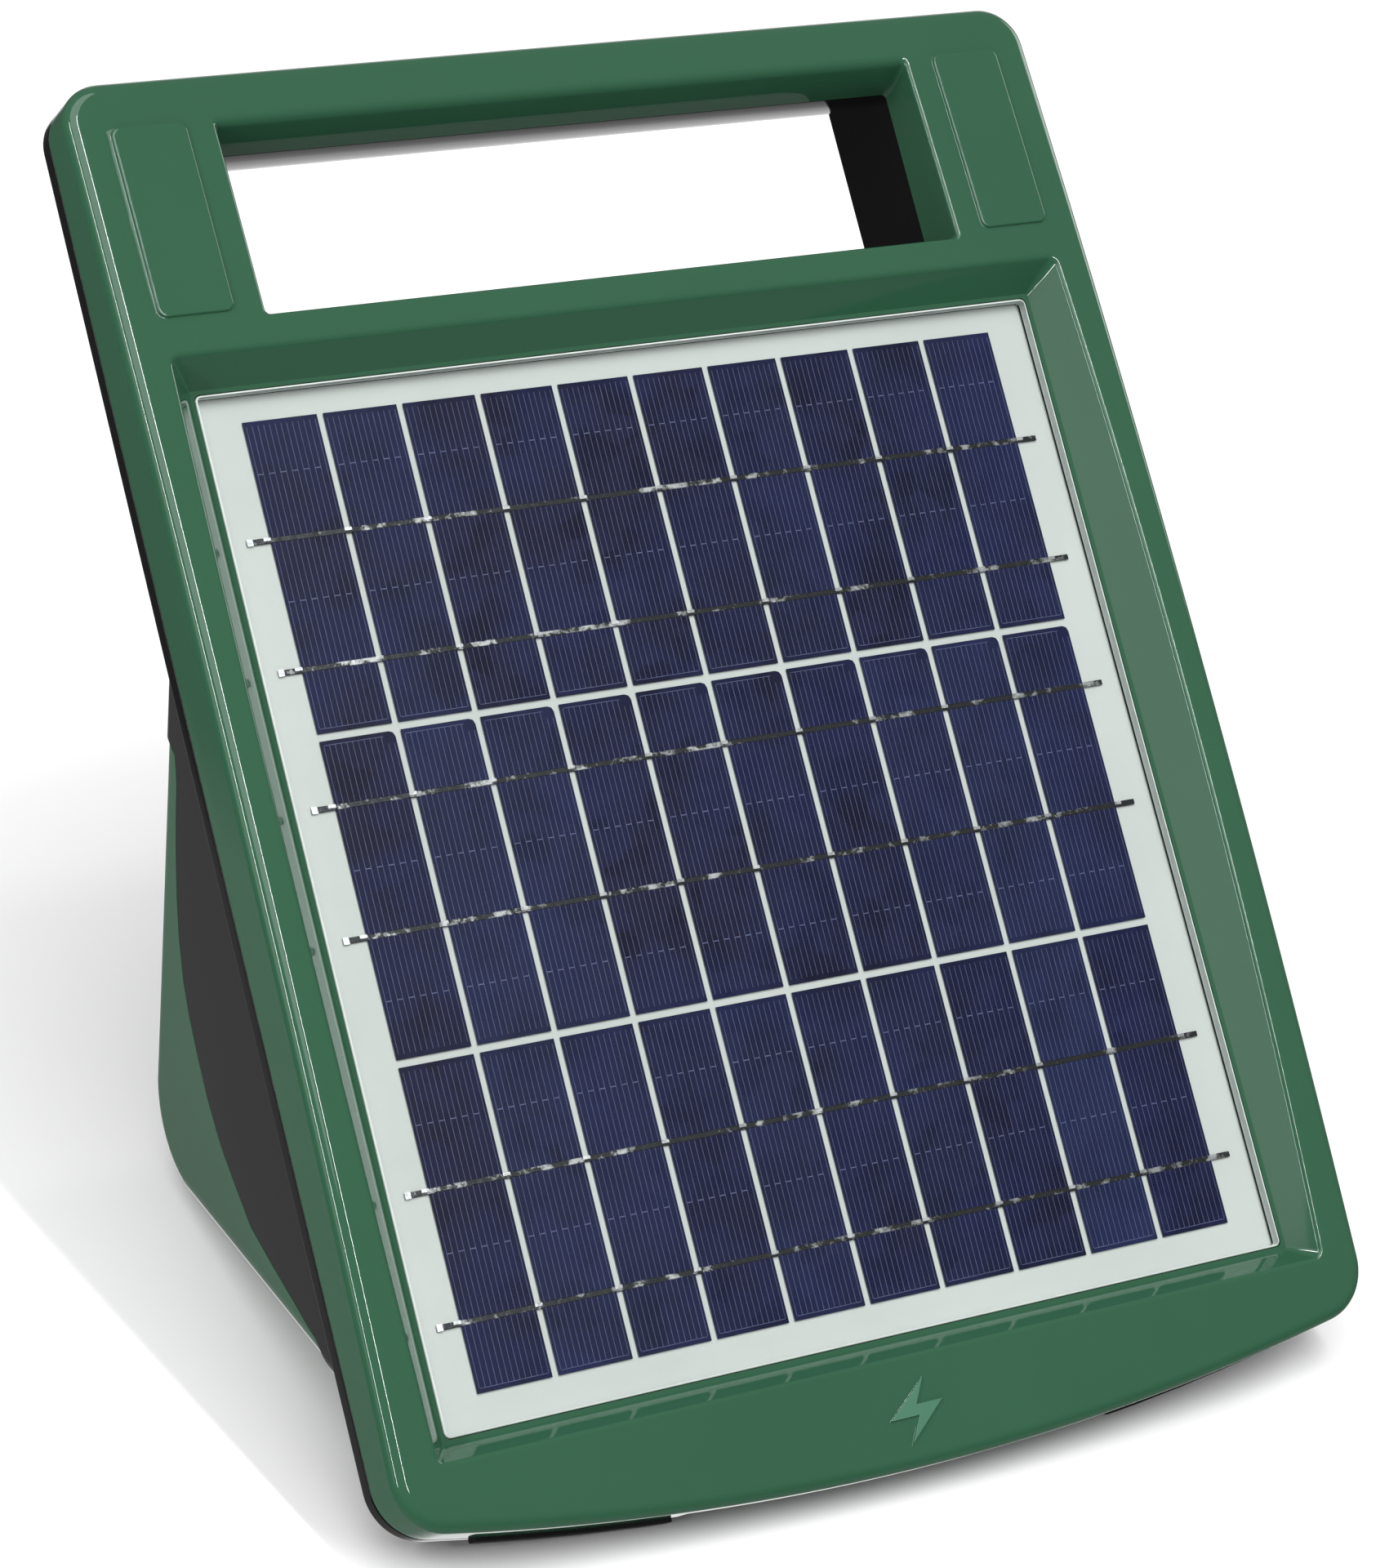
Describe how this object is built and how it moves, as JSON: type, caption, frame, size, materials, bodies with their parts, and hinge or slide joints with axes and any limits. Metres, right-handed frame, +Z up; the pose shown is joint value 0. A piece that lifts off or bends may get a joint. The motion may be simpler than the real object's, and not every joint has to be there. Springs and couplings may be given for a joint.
{
  "type": "solar fence energizer",
  "caption": "Portable solar fence energizer: a leaning front frame with a solar panel and carrying handle, a wedge-shaped rear housing, lift-off rear cover, terminals and switch.",
  "frame": {"origin": "on the floor, under the middle of the object's bounding box (the side knobs included)", "axes": "+Z up, +Y towards the vertical back wall of the rear cover, so the solar panel faces -Y and up; +X towards the side with the knobs"},
  "size_m": [0.2854, 0.2922, 0.2622],
  "materials": {
    "green_plastic": "glossy moulded green with a fine grain",
    "dark_plastic": "glossy moulded near-black",
    "red_plastic": "moulded red",
    "glass": "clear low-iron cover glass",
    "solar_cell": "blue polycrystalline silicon with silver grid lines",
    "white_backsheet": "white laminate backsheet",
    "black_plastic": "matt black",
    "rubber": "soft black rubber",
    "battery_case": "dark grey ABS case",
    "board": "green solder mask",
    "copper": "enamelled copper winding",
    "core_steel": "varnished laminations",
    "red_lens": "clear red lens",
    "red_wire": "PVC insulation",
    "black_wire": "PVC insulation",
    "green_wire": "PVC insulation",
    "steel": "zinc-plated or stainless steel"
  },
  "bodies": {
    "energizer": {"front_frame": "green_plastic", "solar_glass": "glass", "cell_string_top": "solar_cell", "cell_string_middle": "solar_cell", "cell_string_bottom": "solar_cell", "solar_backsheet": "white_backsheet", "panel_adhesive": "black_plastic", "junction_box": "black_plastic", "rear_shell": "dark_plastic", "shell_seal": "rubber", "front_foot_left": "rubber", "front_foot_right": "rubber", "shell_screw_1": "steel", "shell_screw_2": "steel", "shell_screw_3": "steel", "shell_screw_4": "steel", "shell_screw_5": "steel", "shell_screw_6": "steel", "fence_terminal_stud": "steel", "earth_terminal_stud": "steel", "switch_body": "black_plastic", "status_light": "red_lens", "battery": "battery_case", "battery_bracket": "steel", "bracket_screw_1": "steel", "bracket_screw_2": "steel", "circuit_board": "board", "board_screw_1": "steel", "board_screw_2": "steel", "board_screw_3": "steel", "board_screw_4": "steel", "transformer_core": "core_steel", "transformer_coil": "copper", "storage_capacitor": "black_plastic", "battery_lead_red": "red_wire", "battery_lead_black": "black_wire", "panel_lead": "black_wire", "fence_lead": "red_wire", "earth_lead": "green_wire"},
    "cover": {"rear_cover": "green_plastic", "cover_screw_left": "steel", "cover_screw_right": "steel", "rear_foot_left": "rubber", "rear_foot_right": "rubber"},
    "fence_clamp": {"fence_terminal_clamp": "steel"},
    "fence_knob": {"fence_terminal_knob": "red_plastic"},
    "earth_clamp": {"earth_terminal_clamp": "steel"},
    "earth_knob": {"earth_terminal_knob": "dark_plastic"},
    "switch": {"switch_knob": "dark_plastic"}
  },
  "joints": [
    {"name": "cover_pull", "type": "slide", "parent": "energizer", "child": "cover", "axis": [0, 1, 0], "range_m": [0, 0.09]},
    {"name": "fence_clamp_slide", "type": "slide", "parent": "energizer", "child": "fence_clamp", "axis": [1, 0, 0], "range_m": [0, 0.00402]},
    {"name": "fence_knob_turn", "type": "hinge", "parent": "fence_clamp", "child": "fence_knob", "pos_m": [0.1322, -0.01989, 0.07455], "axis": [1, 0, 0], "range_deg": [0, 1440]},
    {"name": "earth_clamp_slide", "type": "slide", "parent": "energizer", "child": "earth_clamp", "axis": [1, 0, 0], "range_m": [0, 0.00402]},
    {"name": "earth_knob_turn", "type": "hinge", "parent": "earth_clamp", "child": "earth_knob", "pos_m": [0.1322, -0.04601, 0.04977], "axis": [1, 0, 0], "range_deg": [0, 1440]},
    {"name": "switch_turn", "type": "hinge", "parent": "energizer", "child": "switch", "pos_m": [0.1272, 0.00695, 0.10002], "axis": [-1, 0, 0], "range_deg": [0, 120]}
  ],
  "couplings": [
    {"joint": "fence_clamp_slide", "follows": "fence_knob_turn", "m_per_rad": 0.00015915},
    {"joint": "earth_clamp_slide", "follows": "earth_knob_turn", "m_per_rad": 0.00015915}
  ]
}
